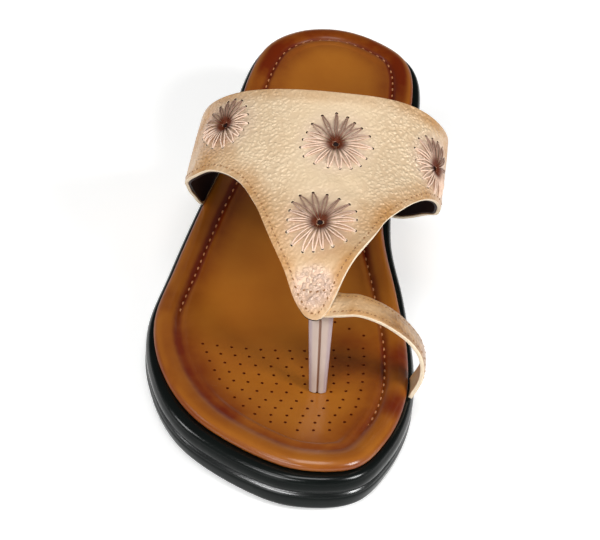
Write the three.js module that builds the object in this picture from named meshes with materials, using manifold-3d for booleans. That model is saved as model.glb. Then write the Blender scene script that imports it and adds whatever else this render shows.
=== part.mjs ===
// A right thong sandal with a toe loop, on a low moulded wedge, in millimetres.
// +X is the inner side of the foot, +Y the heel, -Y the toe and +Z up. The sandal stands on its tread.
import * as THREE from 'three';
import { mergeVertices } from 'three/addons/utils/BufferGeometryUtils.js';
import Module from 'manifold-3d';

const wasm = await Module();
wasm.setup();

// Driving sizes
const SEAM = 0.3; // air between pieces that touch
const WALL = 2.2; // upper leather, backing and lining together
const LOOP_WALL = 1.6; // the thinner folded strap of the toe loop
const LAP = 3.3; // room under the lining of the tip for the lap of the toe loop
const BAND_FRONT = 6.8; // rim of the sole down to its groove, at the toe and ball
const BAND_HEEL = 14; // the same at the heel
const INNER_TUCK = 0.9; // how much less the sole stands out on the inner side of the forefoot
const OUTER_TUCK = 1.2; // and on the outer side, from the ball to the heel
const OUTER_FLARE = 1.5; // how much more its shoulder stands out on the outer side of the toe
const TOE_SPRING = 1; // lift of the tread at the toe
const ARCH_RISE = 4.5; // hollow of the tread between ball and heel
const DRAFT = 0.06; // how much the wall below the groove leans in, for each millimetre of depth
const DISH_FRONT = 1.2; // depth of the footbed's middle at the ball
const DISH_HEEL = 2.4; // and in the heel seat
const ARCH_LIFT = 2; // rise of the footbed's edge under the inner arch
const PANEL_HEIGHT = 3.1; // top of the padded footbed over the rim of the sole
const PANEL_INSET = 13; // from the insole's edge to the flat of the footbed
const INNER_SQUARE = 2.5; // squareness of the vamp's arch on the inner side: 2 is an ellipse
const CROWN_SHARE = 0.6; // share of the way round from the top that is crown, the rest is flank

// Places along the foot
const SPRING_START = -72;
const SPRING_END = -122;
const TUCK_ENDS = [-50, -10];
const OUTER_STARTS = [-88, -48];
const FLARE_ENDS = [-104, -74];
const ARCH_FRONT = -28;
const ARCH_REAR = 72;
const BAND_GROWS = [0, 110];
const ARCH_ACROSS = [-5, 25]; // across the footbed, where the lift of the inner arch starts and is full
const DISH_STARTS = [-108, -78];
const DISH_DEEPENS = [10, 80];
const DISH_ENDS = [84, 110];

// Sections of the insole, toe to heel: its outer and inner edge, and the height of the sole's rim under it
const TOE = { y: -119.8, x: 11, rim: 15.8 };
const HEEL = { y: 121.2, x: -2, rim: 39.4 };
const SECTIONS = [
  { y: -115, outer: -5.5, inner: 29.8, rim: 15.2 },
  { y: -100, outer: -28.5, inner: 39, rim: 13.9 },
  { y: -78, outer: -43.6, inner: 44.4, rim: 12.7 },
  { y: -52, outer: -51, inner: 43.7, rim: 11.9 },
  { y: -22, outer: -48.4, inner: 37.3, rim: 14 },
  { y: 10, outer: -43.6, inner: 29, rim: 19.1 },
  { y: 42, outer: -36.8, inner: 27.8, rim: 27.8 },
  { y: 78, outer: -35.9, inner: 34.1, rim: 35.9 },
  { y: 104, outer: -30, inner: 29.5, rim: 38.7 },
  { y: 117, outer: -17.5, inner: 14, rim: 39.3 },
];

// Side of the sole from its seat to its tread: how far each line stands out from the insole's edge,
// and its height over the rim, the groove or the tread
const SOLE_SIDE = [
  { level: 'rim', rise: 0, out: 1.4 },
  { level: 'rim', rise: -0.3, out: 2.2 },
  { level: 'rim', rise: -1, out: 3 },
  { level: 'rim', rise: -3, out: 3.6 },
  { level: 'groove', rise: 1.1, out: 3.5 },
  { level: 'groove', rise: 0.3, out: 2.7 },
  { level: 'groove', rise: -0.3, out: 2.8 },
  { level: 'groove', rise: -0.8, out: 3.5 },
  { level: 'groove', rise: -1.6, out: 3.8 },
  { level: 'tread', rise: 2.4, out: 3.8 },
  { level: 'tread', rise: 1.1, out: 3 },
  { level: 'tread', rise: 0.25, out: 1.3 },
  { level: 'tread', rise: 0, out: -1 },
];

// Edge roll of the insole from its underside to the footbed: inset from the edge, and height over the rim
const EDGE_ROLL = [
  { inset: 1.2, up: SEAM },
  { inset: 0.3, up: 0.7 },
  { inset: 0, up: 1.7 },
  { inset: 0.3, up: 2.6 },
  { inset: 1.5, up: 3.6 },
  { inset: 3.4, up: 4.1 },
  { inset: 5.6, up: 3.9 },
  { inset: 7.4, up: 3.2 },
  { inset: 8.6, up: 2.2 },
  { inset: 10, up: 2.8 },
];

// Sections of the vamp: its top, the lean of the tongue down to the outer side, how far out and how high
// each flank is at its widest, and the squareness of the arch on the outer side
const VAMP = [
  { y: -74, topX: 8, topZ: 41.8, lean: 0.5, outX: -44, outZ: 34, square: 1.7, inX: 44, inZ: 36 },
  { y: -66, topX: 8, topZ: 49.8, lean: 0.55, outX: -46, outZ: 37, square: 1.7, inX: 46, inZ: 40 },
  { y: -58, topX: 8, topZ: 58.2, lean: 0.36, outX: -47, outZ: 38.5, square: 1.7, inX: 47, inZ: 41.5 },
  { y: -46, topX: 7.5, topZ: 63.7, lean: 0.11, outX: -47.5, outZ: 39.5, square: 1.8, inX: 48, inZ: 43 },
  { y: -30, topX: 7, topZ: 68.6, lean: 0.05, outX: -48, outZ: 40.5, square: 2, inX: 49, inZ: 45 },
  { y: -10, topX: 7.5, topZ: 74.6, lean: 0, outX: -48, outZ: 41.5, square: 2.4, inX: 49, inZ: 47.5 },
  { y: 20, topX: 8, topZ: 84.6, lean: 0, outX: -47.5, outZ: 44, square: 2.6, inX: 49.5, inZ: 51.5 },
  { y: 55, topX: 8, topZ: 94, lean: 0, outX: -45, outZ: 49, square: 2.6, inX: 49, inZ: 55 },
];

// Cut edges of the vamp: the place along the foot at each share of the way round,
// from the outer base (-1) over the top (0) to the inner base (1)
const FRONT_EDGE = [
  { around: -1, y: 14 },
  { around: -0.8, y: 9.5 },
  { around: -0.64, y: -1 },
  { around: -0.53, y: -9.5 },
  { around: -0.433, y: -15 },
  { around: -0.336, y: -17.8 },
  { around: -0.248, y: -24.6 },
  { around: -0.192, y: -34.4 },
  { around: -0.144, y: -46.8 },
  { around: -0.084, y: -59.4 },
  { around: -0.036, y: -68.8 },
  { around: -0.012, y: -71.9 },
  { around: 0.015, y: -73 },
  { around: 0.042, y: -72.3 },
  { around: 0.06, y: -70 },
  { around: 0.09, y: -63.4 },
  { around: 0.143, y: -53.5 },
  { around: 0.179, y: -45.4 },
  { around: 0.203, y: -39.4 },
  { around: 0.24, y: -33.8 },
  { around: 0.3, y: -26 },
  { around: 0.356, y: -20.5 },
  { around: 0.423, y: -16 },
  { around: 0.6, y: -6.5 },
  { around: 0.8, y: 13 },
  { around: 1, y: 20 },
];
const REAR_EDGE = [
  { around: -1, y: 46 },
  { around: -0.8, y: 42 },
  { around: -0.6, y: 29 },
  { around: -0.42, y: 18.5 },
  { around: -0.2, y: 12.6 },
  { around: 0, y: 12.2 },
  { around: 0.2, y: 14 },
  { around: 0.42, y: 18.6 },
  { around: 0.6, y: 29 },
  { around: 0.8, y: 41 },
  { around: 1, y: 46 },
];

// Toe loop from under the tip to the inner side of the sole: its front and rear edge on the outer face
const TOE_LOOP = [
  { frontX: 7, frontY: -70.5, frontZ: 43.6, rearX: 7, rearY: -64.4, rearZ: 49.4 },
  { frontX: 11.5, frontY: -72, frontZ: 44.6, rearX: 12.5, rearY: -63.6, rearZ: 50 },
  { frontX: 17, frontY: -73, frontZ: 47, rearX: 17.7, rearY: -62.9, rearZ: 49 },
  { frontX: 23.7, frontY: -73.4, frontZ: 48.8, rearX: 23, rearY: -63.3, rearZ: 49.8 },
  { frontX: 31, frontY: -73.3, frontZ: 47.2, rearX: 29.7, rearY: -63.5, rearZ: 48.2 },
  { frontX: 38, frontY: -72.8, frontZ: 43.2, rearX: 37, rearY: -63, rearZ: 43.8 },
  { frontX: 44.4, frontY: -72.5, frontZ: 37.8, rearX: 43.2, rearY: -62.4, rearZ: 37.6 },
  { frontX: 48.6, frontY: -72.4, frontZ: 31, rearX: 47.7, rearY: -62.2, rearZ: 30.8 },
  { frontX: 49.6, frontY: -73, frontZ: 22, rearX: 49.6, rearY: -62.6, rearZ: 22 },
  { frontX: 46.7, frontY: -74, frontZ: 12.9, rearX: 46.5, rearY: -63.2, rearZ: 12.6 },
];

// Toe post: centre, width and thickness at the footbed and under the tip
const POST_FOOT = { x: 12.9, y: -77.8, width: 6.2, thickness: 4 };
const POST_HEAD = { x: 10.9, y: -68.6, width: 8.8, thickness: 4.4 };
const POST_SQUARE = 0.7; // 1 is an ellipse, less is a rounded bar

// Mesh steps
const OUTLINE_STEPS = 84;
const PANEL_STEPS = 6;
const VAMP_ROUND = 80;
const VAMP_ALONG = 12;
const LOOP_STEPS = 30;
const LOOP_ACROSS = 2;
const POST_ROUND = 14;
const POST_STEPS = 5;
const HALVINGS = 30;
const WELD = 1e-4;
const AROUND_LENGTH = 85; // millimetres from the top of the vamp round to its base, to space its mesh evenly

const { smoothstep, lerp, clamp } = THREE.MathUtils;

// Smooth value of a table's column at a place between its rows
function column(rows, name, y) {
  const last = rows.length - 1;
  const place = clamp(y, rows[0].y, rows[last].y);
  let i = 0;
  while (i < last - 1 && place > rows[i + 1].y) i += 1;
  const slopeAt = (k) => {
    const before = rows[Math.max(k - 1, 0)];
    const after = rows[Math.min(k + 1, last)];
    return (after[name] - before[name]) / (after.y - before.y);
  };
  const span = rows[i + 1].y - rows[i].y;
  const t = (place - rows[i].y) / span;
  const start = rows[i][name];
  const rise = rows[i + 1][name] - start;
  const a = slopeAt(i) * span;
  const b = slopeAt(i + 1) * span;
  return start + a * t + (3 * rise - 2 * a - b) * t * t + (a + b - 2 * rise) * t * t * t;
}

// Levels of the sole
const RIM_ROWS = [TOE, ...SECTIONS, HEEL];

function rimHeight(y) {
  return column(RIM_ROWS, 'rim', y);
}

function grooveHeight(y) {
  return rimHeight(y) - lerp(BAND_FRONT, BAND_HEEL, smoothstep(y, ...BAND_GROWS));
}

function treadHeight(y) {
  if (y < SPRING_START) return TOE_SPRING * ((SPRING_START - y) / (SPRING_START - SPRING_END)) ** 2;
  if (y < ARCH_FRONT || y > ARCH_REAR) return 0;
  return ARCH_RISE * Math.sin((Math.PI * (y - ARCH_FRONT)) / (ARCH_REAR - ARCH_FRONT)) ** 2;
}

const LEVELS = { rim: rimHeight, groove: grooveHeight, tread: treadHeight };

// Edge of the insole as one closed curve: toe, outer side, heel, inner side
const edgeCurve = new THREE.CatmullRomCurve3(
  [
    new THREE.Vector3(TOE.x, TOE.y, 0),
    ...SECTIONS.map((row) => new THREE.Vector3(row.outer, row.y, 0)),
    new THREE.Vector3(HEEL.x, HEEL.y, 0),
    ...SECTIONS.toReversed().map((row) => new THREE.Vector3(row.inner, row.y, 0)),
  ],
  true,
  'centripetal',
);

// One side of that edge at a place along the foot, found by halving
function edgeX(y, inner) {
  let low = 0;
  let high = 0.5;
  const at = (t) => edgeCurve.getPoint(inner ? 1 - t : t);
  for (let k = 0; k < HALVINGS; k += 1) {
    const middle = (low + high) / 2;
    if (at(middle).y < y) low = middle;
    else high = middle;
  }
  return at(low).x;
}

// Closed ring that stands out from the insole's edge, at a height given for each point
function ring(out, heightAt) {
  return Array.from({ length: OUTLINE_STEPS }, (_, i) => {
    const t = i / OUTLINE_STEPS;
    const point = edgeCurve.getPoint(t);
    const along = edgeCurve.getTangent(t);
    const place = new THREE.Vector3(point.x - along.y * out, point.y + along.x * out, 0);
    place.z = heightAt(place, point.y);
    return place;
  });
}

// Triangles are gathered as loose corners, then welded and turned to face out
class Skin {
  corners = [];

  triangle(a, b, c) {
    if (a.equals(b) || b.equals(c) || c.equals(a)) return;
    for (const p of [a, b, c]) this.corners.push(p.x, p.y, p.z);
  }

  quad(a, b, c, d) {
    this.triangle(a, b, c);
    this.triangle(a, c, d);
  }

  // Rows of points, one row after another
  grid(rows, turned = false) {
    for (let i = 0; i + 1 < rows.length; i += 1) {
      for (let j = 0; j + 1 < rows[i].length; j += 1) {
        const face = [rows[i][j], rows[i + 1][j], rows[i + 1][j + 1], rows[i][j + 1]];
        this.quad(...(turned ? face.reverse() : face));
      }
    }
  }

  geometry() {
    const loose = new THREE.BufferGeometry();
    loose.setAttribute('position', new THREE.Float32BufferAttribute(this.corners, 3));
    const welded = mergeVertices(loose, WELD);
    if (volume(welded) < 0) {
      const order = welded.index.array;
      for (let k = 0; k < order.length; k += 3) [order[k], order[k + 1]] = [order[k + 1], order[k]];
    }
    return welded;
  }
}

function volume(geometry) {
  const { position } = geometry.attributes;
  const corner = (k) => new THREE.Vector3().fromBufferAttribute(position, geometry.index.array[k]);
  let sum = 0;
  for (let k = 0; k < geometry.index.count; k += 3) {
    sum += corner(k).dot(corner(k + 1).cross(corner(k + 2)));
  }
  return sum / 6;
}

// Closed body from rings round the foot, with a cap across the first ring and one across the last
function wrapRings(rings, firstCap, lastCap) {
  const skin = new Skin();
  skin.grid(rings.map((points) => [...points, points[0]]), true);
  skin.grid(firstCap(rings[0]), true);
  skin.grid(lastCap(rings.at(-1)));
  return skin.geometry();
}

// Cap across a ring in lines from the outer to the inner side, each line lifted to a given height
function crossLines(points, steps, heightAt) {
  const half = OUTLINE_STEPS / 2;
  return Array.from({ length: half + 1 }, (_, i) => {
    const outer = points[i];
    const inner = points[(OUTLINE_STEPS - i) % OUTLINE_STEPS];
    return Array.from({ length: steps + 1 }, (_, j) => {
      if (j === 0 || i === 0 || i === half) return outer;
      if (j === steps) return inner;
      const place = outer.clone().lerp(inner, j / steps);
      if (heightAt) place.z = heightAt(place);
      return place;
    });
  });
}

// Moulded sole
function outsole() {
  const rings = SOLE_SIDE.map(({ level, rise, out }) => ring(out, () => 0).map((place, i) => {
    const { y } = edgeCurve.getPoint(i / OUTLINE_STEPS);
    const height = LEVELS[level](y) + rise;
    const along = edgeCurve.getTangent(i / OUTLINE_STEPS);
    const flare = OUTER_FLARE * Math.min(rimHeight(y) - height, 1) * (1 - smoothstep(y, ...FLARE_ENDS));
    const tuck = along.y > 0
      ? along.y * (OUTER_TUCK * smoothstep(y, ...OUTER_STARTS) - flare)
      : -along.y * INNER_TUCK * (1 - smoothstep(y, ...TUCK_ENDS));
    const lean = DRAFT * Math.max(grooveHeight(y) - height, 0) + tuck;
    return new THREE.Vector3(place.x + along.y * lean, place.y - along.x * lean, height);
  }));
  const acrossOnce = (points) => crossLines(points, 1);
  return wrapRings(rings, acrossOnce, acrossOnce);
}

// Padded footbed: it rises under the inner arch and is dished along the middle
function archLift(x, y) {
  if (y < ARCH_FRONT || y > ARCH_REAR) return 0;
  const along = Math.sin((Math.PI * (y - ARCH_FRONT)) / (ARCH_REAR - ARCH_FRONT)) ** 2;
  return ARCH_LIFT * along * smoothstep(x, ...ARCH_ACROSS);
}

function footbedHeight(x, y) {
  const outer = edgeX(y, false);
  const inner = edgeX(y, true);
  const reach = Math.max((inner - outer) / 2 - PANEL_INSET, 1);
  const across = clamp((x - (outer + inner) / 2) / reach, -1, 1);
  const ends = smoothstep(y, ...DISH_STARTS) * (1 - smoothstep(y, ...DISH_ENDS));
  const depth = lerp(DISH_FRONT, DISH_HEEL, smoothstep(y, ...DISH_DEEPENS)) * (1 - across * across) * ends;
  return rimHeight(y) + PANEL_HEIGHT + archLift(x, y) - depth;
}

function insole() {
  const crest = Math.max(...EDGE_ROLL.map((row) => row.up));
  const rings = EDGE_ROLL.map(({ inset, up }) => ring(-inset, (place, y) => {
    return rimHeight(y) + up + (archLift(place.x, y) * (up - SEAM)) / crest;
  }));
  rings.push(ring(-PANEL_INSET, (place) => footbedHeight(place.x, place.y)));
  return wrapRings(
    rings,
    (points) => crossLines(points, 1),
    (points) => crossLines(points, PANEL_STEPS, (place) => footbedHeight(place.x, place.y)),
  );
}

// Arch of the vamp at a place along the foot, on one side, some depth in from its outer face
function arch(y, inner, depth) {
  return {
    topX: column(VAMP, 'topX', y),
    top: column(VAMP, 'topZ', y) - depth,
    lean: column(VAMP, 'lean', y),
    reachX: inner ? column(VAMP, 'inX', y) - depth : column(VAMP, 'outX', y) + depth,
    reach: column(VAMP, inner ? 'inZ' : 'outZ', y),
    power: inner ? INNER_SQUARE : column(VAMP, 'square', y),
  };
}

// Vamp: a point of its wall at a share of the way round. The crown is a squared arch from the top
// to the reach of each flank, and the flank curls in to the rim.
function vampPoint(around, y, depth) {
  const inner = around > 0;
  const { topX, top, lean, reachX, reach, power } = arch(y, inner, depth);
  const share = Math.abs(around);
  if (share <= CROWN_SHARE) {
    const angle = (share / CROWN_SHARE) * (Math.PI / 2);
    const size = (Math.sin(angle) ** power + Math.cos(angle) ** power) ** (-1 / power);
    const across = (reachX - topX) * Math.sin(angle) * size;
    const rise = (top - reach + lean * across) * Math.cos(angle) * size;
    return new THREE.Vector3(topX + across, y, reach + rise);
  }
  const angle = ((share - CROWN_SHARE) / (1 - CROWN_SHARE)) * (Math.PI / 2);
  const baseX = edgeX(y, inner) + (inner ? SEAM : -SEAM);
  const base = rimHeight(y) + SEAM + depth;
  return new THREE.Vector3(
    baseX + (reachX - baseX) * Math.cos(angle),
    y,
    reach - (reach - base) * Math.sin(angle),
  );
}

// Closed wall between an outer and an inner sheet of the same grid
function wall(outerRows, innerRows) {
  const skin = new Skin();
  skin.grid(outerRows);
  skin.grid(innerRows, true);
  const last = outerRows.length - 1;
  const end = outerRows[0].length - 1;
  skin.grid([innerRows[0], outerRows[0]]);
  skin.grid([outerRows[last], innerRows[last]]);
  skin.grid(outerRows.map((row, i) => [innerRows[i][0], row[0]]));
  skin.grid(outerRows.map((row, i) => [row[end], innerRows[i][end]]));
  return skin.geometry();
}

function vamp() {
  const cut = (rows) => new THREE.CatmullRomCurve3(
    rows.map(({ around, y }) => new THREE.Vector3(around * AROUND_LENGTH, y, 0)),
    false,
    'centripetal',
  ).getSpacedPoints(VAMP_ROUND);
  const rear = cut(REAR_EDGE);
  const front = cut(FRONT_EDGE);
  const sheet = (depth) => rear.map((start, i) => Array.from({ length: VAMP_ALONG + 1 }, (_, j) => {
    const place = start.clone().lerp(front[i], j / VAMP_ALONG);
    return vampPoint(clamp(place.x / AROUND_LENGTH, -1, 1), place.y, depth);
  }));
  return wall(sheet(0), sheet(WALL));
}

function toeLoop() {
  const edge = (x, y, z) => new THREE.CatmullRomCurve3(
    TOE_LOOP.map((fold) => new THREE.Vector3(fold[x], fold[y], fold[z])),
    false,
    'centripetal',
  );
  const front = edge('frontX', 'frontY', 'frontZ');
  const rear = edge('rearX', 'rearY', 'rearZ');
  const sheet = (depth) => Array.from({ length: LOOP_STEPS + 1 }, (_, i) => {
    const t = i / LOOP_STEPS;
    const start = front.getPoint(t);
    const across = rear.getPoint(t).sub(start);
    const along = front.getTangent(t).add(rear.getTangent(t));
    const inward = across.clone().cross(along).normalize().multiplyScalar(depth);
    return Array.from({ length: LOOP_ACROSS + 1 }, (_, j) => {
      return start.clone().addScaledVector(across, j / LOOP_ACROSS).add(inward);
    });
  });
  return wall(sheet(0), sheet(LOOP_WALL));
}

function toSolid(geometry) {
  return new wasm.Manifold(new wasm.Mesh({
    numProp: 3,
    vertProperties: new Float32Array(geometry.attributes.position.array),
    triVerts: new Uint32Array(geometry.index.array),
  }));
}

function upper() {
  const { vertProperties, triVerts } = toSolid(vamp()).add(toSolid(toeLoop())).getMesh();
  const geometry = new THREE.BufferGeometry();
  geometry.setAttribute('position', new THREE.BufferAttribute(vertProperties, 3));
  geometry.setIndex(new THREE.BufferAttribute(triVerts, 1));
  return geometry;
}

// Folded strip between the toes, from the footbed to the underside of the tongue
function tongueHeight(x, y, depth) {
  const inner = x > column(VAMP, 'topX', y);
  const { topX, top, lean, reachX, reach, power } = arch(y, inner, depth);
  const share = (x - topX) / (reachX - topX);
  return reach + (top - reach + lean * (x - topX)) * (1 - share ** power) ** (1 / power);
}

function toePost() {
  const rings = Array.from({ length: POST_STEPS + 1 }, (_, k) => {
    const t = k / POST_STEPS;
    return Array.from({ length: POST_ROUND }, (_, i) => {
      const angle = (i / POST_ROUND) * Math.PI * 2;
      const place = ({ x, y, width, thickness }) => new THREE.Vector3(
        x + (width / 2) * Math.sign(Math.cos(angle)) * Math.abs(Math.cos(angle)) ** POST_SQUARE,
        y + (thickness / 2) * Math.sin(angle),
        0,
      );
      const foot = place(POST_FOOT);
      foot.z = footbedHeight(foot.x, foot.y) + SEAM;
      const head = place(POST_HEAD);
      head.z = tongueHeight(POST_HEAD.x, head.y, WALL + LAP) - SEAM;
      return foot.lerp(head, t);
    });
  });
  const skin = new Skin();
  skin.grid(rings.map((points) => [...points, points[0]]));
  for (const [points, turned] of [[rings[0], true], [rings.at(-1), false]]) {
    const middle = points.reduce((sum, p) => sum.add(p), new THREE.Vector3()).divideScalar(POST_ROUND);
    points.forEach((p, i) => {
      const next = points[(i + 1) % POST_ROUND];
      skin.triangle(middle, ...(turned ? [p, next] : [next, p]));
    });
  }
  return skin.geometry();
}

// The sandal, its origin in the middle of its box, on the floor
const PIECES = [
  { name: 'outsole', geometry: outsole(), color: '#17191a', roughness: 0.35, metalness: 0 },
  { name: 'insole', geometry: insole(), color: '#8a4f1d', roughness: 0.4, metalness: 0 },
  { name: 'upper', geometry: upper(), color: '#d2ac7c', roughness: 0.45, metalness: 0.1 },
  { name: 'toe_post', geometry: toePost(), color: '#cdb7a6', roughness: 0.4, metalness: 0 },
];

const sandal = new THREE.Group();
for (const { name, geometry, ...finish } of PIECES) {
  const mesh = new THREE.Mesh(geometry, new THREE.MeshStandardMaterial(finish));
  mesh.name = name;
  sandal.add(mesh);
}
const box = new THREE.Box3().setFromObject(sandal);
sandal.position.set(-(box.min.x + box.max.x) / 2, -(box.min.y + box.max.y) / 2, -box.min.z);
sandal.updateMatrixWorld(true);

export default sandal;
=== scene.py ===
"""A right thong sandal with a toe loop on a low black wedge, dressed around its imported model."""

import math

import bpy
import numpy as np
from mathutils import Matrix, Vector
from mathutils.bvhtree import BVHTree
from mathutils.kdtree import KDTree


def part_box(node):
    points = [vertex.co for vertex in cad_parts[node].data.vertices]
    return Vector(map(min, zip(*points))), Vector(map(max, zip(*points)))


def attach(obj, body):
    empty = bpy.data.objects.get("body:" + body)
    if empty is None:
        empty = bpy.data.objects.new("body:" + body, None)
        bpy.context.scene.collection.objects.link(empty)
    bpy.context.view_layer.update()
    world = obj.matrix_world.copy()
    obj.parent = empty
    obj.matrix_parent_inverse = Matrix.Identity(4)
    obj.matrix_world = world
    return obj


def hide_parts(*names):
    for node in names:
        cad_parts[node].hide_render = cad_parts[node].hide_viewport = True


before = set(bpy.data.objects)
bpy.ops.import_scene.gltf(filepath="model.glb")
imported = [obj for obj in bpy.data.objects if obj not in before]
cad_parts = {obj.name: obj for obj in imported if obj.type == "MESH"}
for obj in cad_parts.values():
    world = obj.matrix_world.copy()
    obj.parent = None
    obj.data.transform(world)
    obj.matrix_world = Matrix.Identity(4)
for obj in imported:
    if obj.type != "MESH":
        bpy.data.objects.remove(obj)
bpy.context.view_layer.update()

# Outsole
# A wedge moulded in one piece from black polyurethane and glued under the insole: low at the ball and high
# at the heel, with a rounded rim, a groove with a shoulder under it, a hollowed arch and a lifted toe.
MM = 0.001  # sizes are in millimetres, in a drawing whose +X is the inner side and +Y the heel
EDGE_STEPS = 2200  # along the dense line round the insole
OUTLINE_STEPS = 240
BAND_FRONT = 6.8  # rim of the sole down to its groove, at the toe and ball
BAND_HEEL = 14
BAND_GROWS = (0, 110)
INNER_TUCK = 0.9  # how much less the sole stands out on the inner side of the forefoot
TUCK_ENDS = (-50, -10)
OUTER_TUCK = 1.2  # and on the outer side, from the ball to the heel
OUTER_FLARE = 1.5  # how much more its shoulder stands out on the outer side of the toe
OUTER_STARTS = (-88, -48)
FLARE_ENDS = (-104, -74)
TOE_SPRING = 1  # how far the tread is lifted at the tip
SPRING_START = -72
SPRING_END = -122
ARCH_RISE = 4.5  # how far it is hollowed under the arch
ARCH_FRONT = -28
ARCH_REAR = 72
DRAFT = 0.06  # how much the wall below the groove leans in, for each millimetre of depth
GLOSSY_FACES = (0.35, 0.65)  # upward part of a face's normal, where the gloss starts and where it is full
BAND_DULL = 0.65  # share of the gloss that is missing over the groove
SIDE_DULL = 0.6  # and along the sides behind the toe
SIDE_STARTS = (-85, -50)


def table(names, *rows):
    """Rows of sizes, kept as one array for each named column."""
    return dict(zip(names.split(), np.array(rows, float).T))


SECTIONS = table(  # edge of the insole on both sides, and the height of the sole's rim under it
    "y outer inner rim",
    (-119.8, 11, 11, 15.8),
    (-115, -5.5, 29.8, 15.2),
    (-100, -28.5, 39, 13.9),
    (-78, -43.6, 44.4, 12.7),
    (-52, -51, 43.7, 11.9),
    (-22, -48.4, 37.3, 14),
    (10, -43.6, 29, 19.1),
    (42, -36.8, 27.8, 27.8),
    (78, -35.9, 34.1, 35.9),
    (104, -30, 29.5, 38.7),
    (117, -17.5, 14, 39.3),
    (121.2, -2, -2, 39.4),
)
SOLE_SIDE = (  # level that each line follows, its rise over it, and how far it stands out from the insole
    ("rim", 0, -4),
    ("rim", 0, 1.2),
    ("rim", -0.25, 2.1),
    ("rim", -0.9, 2.9),
    ("rim", -2.2, 3.5),
    ("rim", -3.4, 3.7),
    ("groove", 1.4, 3.6),
    ("groove", 0.7, 3.1),
    ("groove", 0.3, 2.4),
    ("groove", -0.1, 2.4),
    ("groove", -0.7, 3.2),
    ("groove", -1.5, 3.8),
    ("groove", -2.4, 3.95),
    ("tread", 3, 3.8),
    ("tread", 1.5, 3.7),
    ("tread", 0.6, 3.2),
    ("tread", 0.1, 1.8),
    ("tread", 0, -1),
)


def ease(x, low, high):
    """0 below low and 1 above high, with a smooth rise between."""
    share = np.clip((x - low) / (high - low), 0, 1)
    return share * share * (3 - 2 * share)


def column(rows, name, y):
    """Smooth value of a table's column at places along the foot."""
    at, values = rows["y"], rows[name]
    last = len(at) - 1
    row = np.arange(last + 1)
    before, after = np.maximum(row - 1, 0), np.minimum(row + 1, last)
    slopes = (values[after] - values[before]) / (at[after] - at[before])
    y = np.clip(y, at[0], at[last])
    i = np.clip(np.searchsorted(at, y) - 1, 0, last - 1)
    span = at[i + 1] - at[i]
    t = (y - at[i]) / span
    rise = values[i + 1] - values[i]
    a, b = slopes[i] * span, slopes[i + 1] * span
    return values[i] + a * t + (3 * rise - 2 * a - b) * t**2 + (a + b - 2 * rise) * t**3


def smooth_curve(points, count, closed=False):
    """A dense smooth line through points, with the same number of steps between each two."""
    points = np.asarray(points, float)
    spans = len(points) if closed else len(points) - 1
    first = points[-1] if closed else 2 * points[0] - points[1]
    ends = points[:2] if closed else [2 * points[-1] - points[-2]]
    padded = np.vstack([first, points, ends])
    place = np.linspace(0, spans, count + 1)
    i = np.minimum(place.astype(int), spans - 1)
    w = (place - i)[:, None]
    p0, p1, p2, p3 = (padded[i + k] for k in range(4))
    d0, d1, d2 = (
        np.sqrt(np.linalg.norm(b - a, axis=1))[:, None] for a, b in ((p0, p1), (p1, p2), (p2, p3))
    )
    start = ((p1 - p0) / d0 - (p2 - p0) / (d0 + d1) + (p2 - p1) / d1) * d1
    end = ((p2 - p1) / d1 - (p3 - p1) / (d1 + d2) + (p3 - p2) / d2) * d1
    return p1 + start * w + (3 * (p2 - p1) - 2 * start - end) * w**2 + (2 * (p1 - p2) + start + end) * w**3


def spaced(line, count):
    """Points along a dense line, all the same way apart."""
    run = np.r_[0, np.cumsum(np.linalg.norm(np.diff(line, axis=0), axis=1))]
    at = np.linspace(0, run[-1], count)
    return np.stack([np.interp(at, run, axis) for axis in line.T], axis=1)


def rim(y):
    return column(SECTIONS, "rim", y)


def groove(y):
    return rim(y) - BAND_FRONT - (BAND_HEEL - BAND_FRONT) * ease(y, *BAND_GROWS)


def arch_share(y):
    """0 at the ball and the heel and 1 in the middle of the arch."""
    return np.sin(np.pi * np.clip((y - ARCH_FRONT) / (ARCH_REAR - ARCH_FRONT), 0, 1)) ** 2


def tread(y):
    spring = np.clip((SPRING_START - y) / (SPRING_START - SPRING_END), 0, None) ** 2
    return TOE_SPRING * spring + ARCH_RISE * arch_share(y)


LEVELS = {"rim": rim, "groove": groove, "tread": tread}

half = OUTLINE_STEPS // 2
edge_line = smooth_curve(
    np.c_[
        np.r_[SECTIONS["outer"], SECTIONS["inner"][-2:0:-1]],
        np.r_[SECTIONS["y"], SECTIONS["y"][-2:0:-1]],
    ],
    EDGE_STEPS,
    closed=True,
)
outer_line, inner_line = edge_line[: EDGE_STEPS // 2 + 1], edge_line[: EDGE_STEPS // 2 - 1 : -1]
EDGE = np.vstack([spaced(outer_line, half + 1)[:-1], spaced(inner_line, half + 1)[:0:-1]])
ahead = np.roll(EDGE, -1, axis=0) - np.roll(EDGE, 1, axis=0)
ahead /= np.linalg.norm(ahead, axis=1)[:, None]
OUTWARD = np.c_[-ahead[:, 1], ahead[:, 0]]
insole_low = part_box("insole")[0]
SHIFT = np.array([insole_low.x / MM - edge_line[:, 0].min(), insole_low.y / MM - edge_line[:, 1].min(), 0])


def ring(out, height):
    """A closed line that stands out from the insole's edge, at the given heights."""
    out = np.broadcast_to(out, len(EDGE))
    return np.c_[EDGE + OUTWARD * out[:, None], np.broadcast_to(height, len(EDGE))]


def cross_lines(edge, steps):
    """Lines across a ring, from its outer side to its inner side."""
    outer, inner = edge[: half + 1], edge[-np.arange(half + 1)]
    share = np.linspace(0, 1, steps + 1)[:, None, None]
    return outer + (inner - outer) * share


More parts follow.
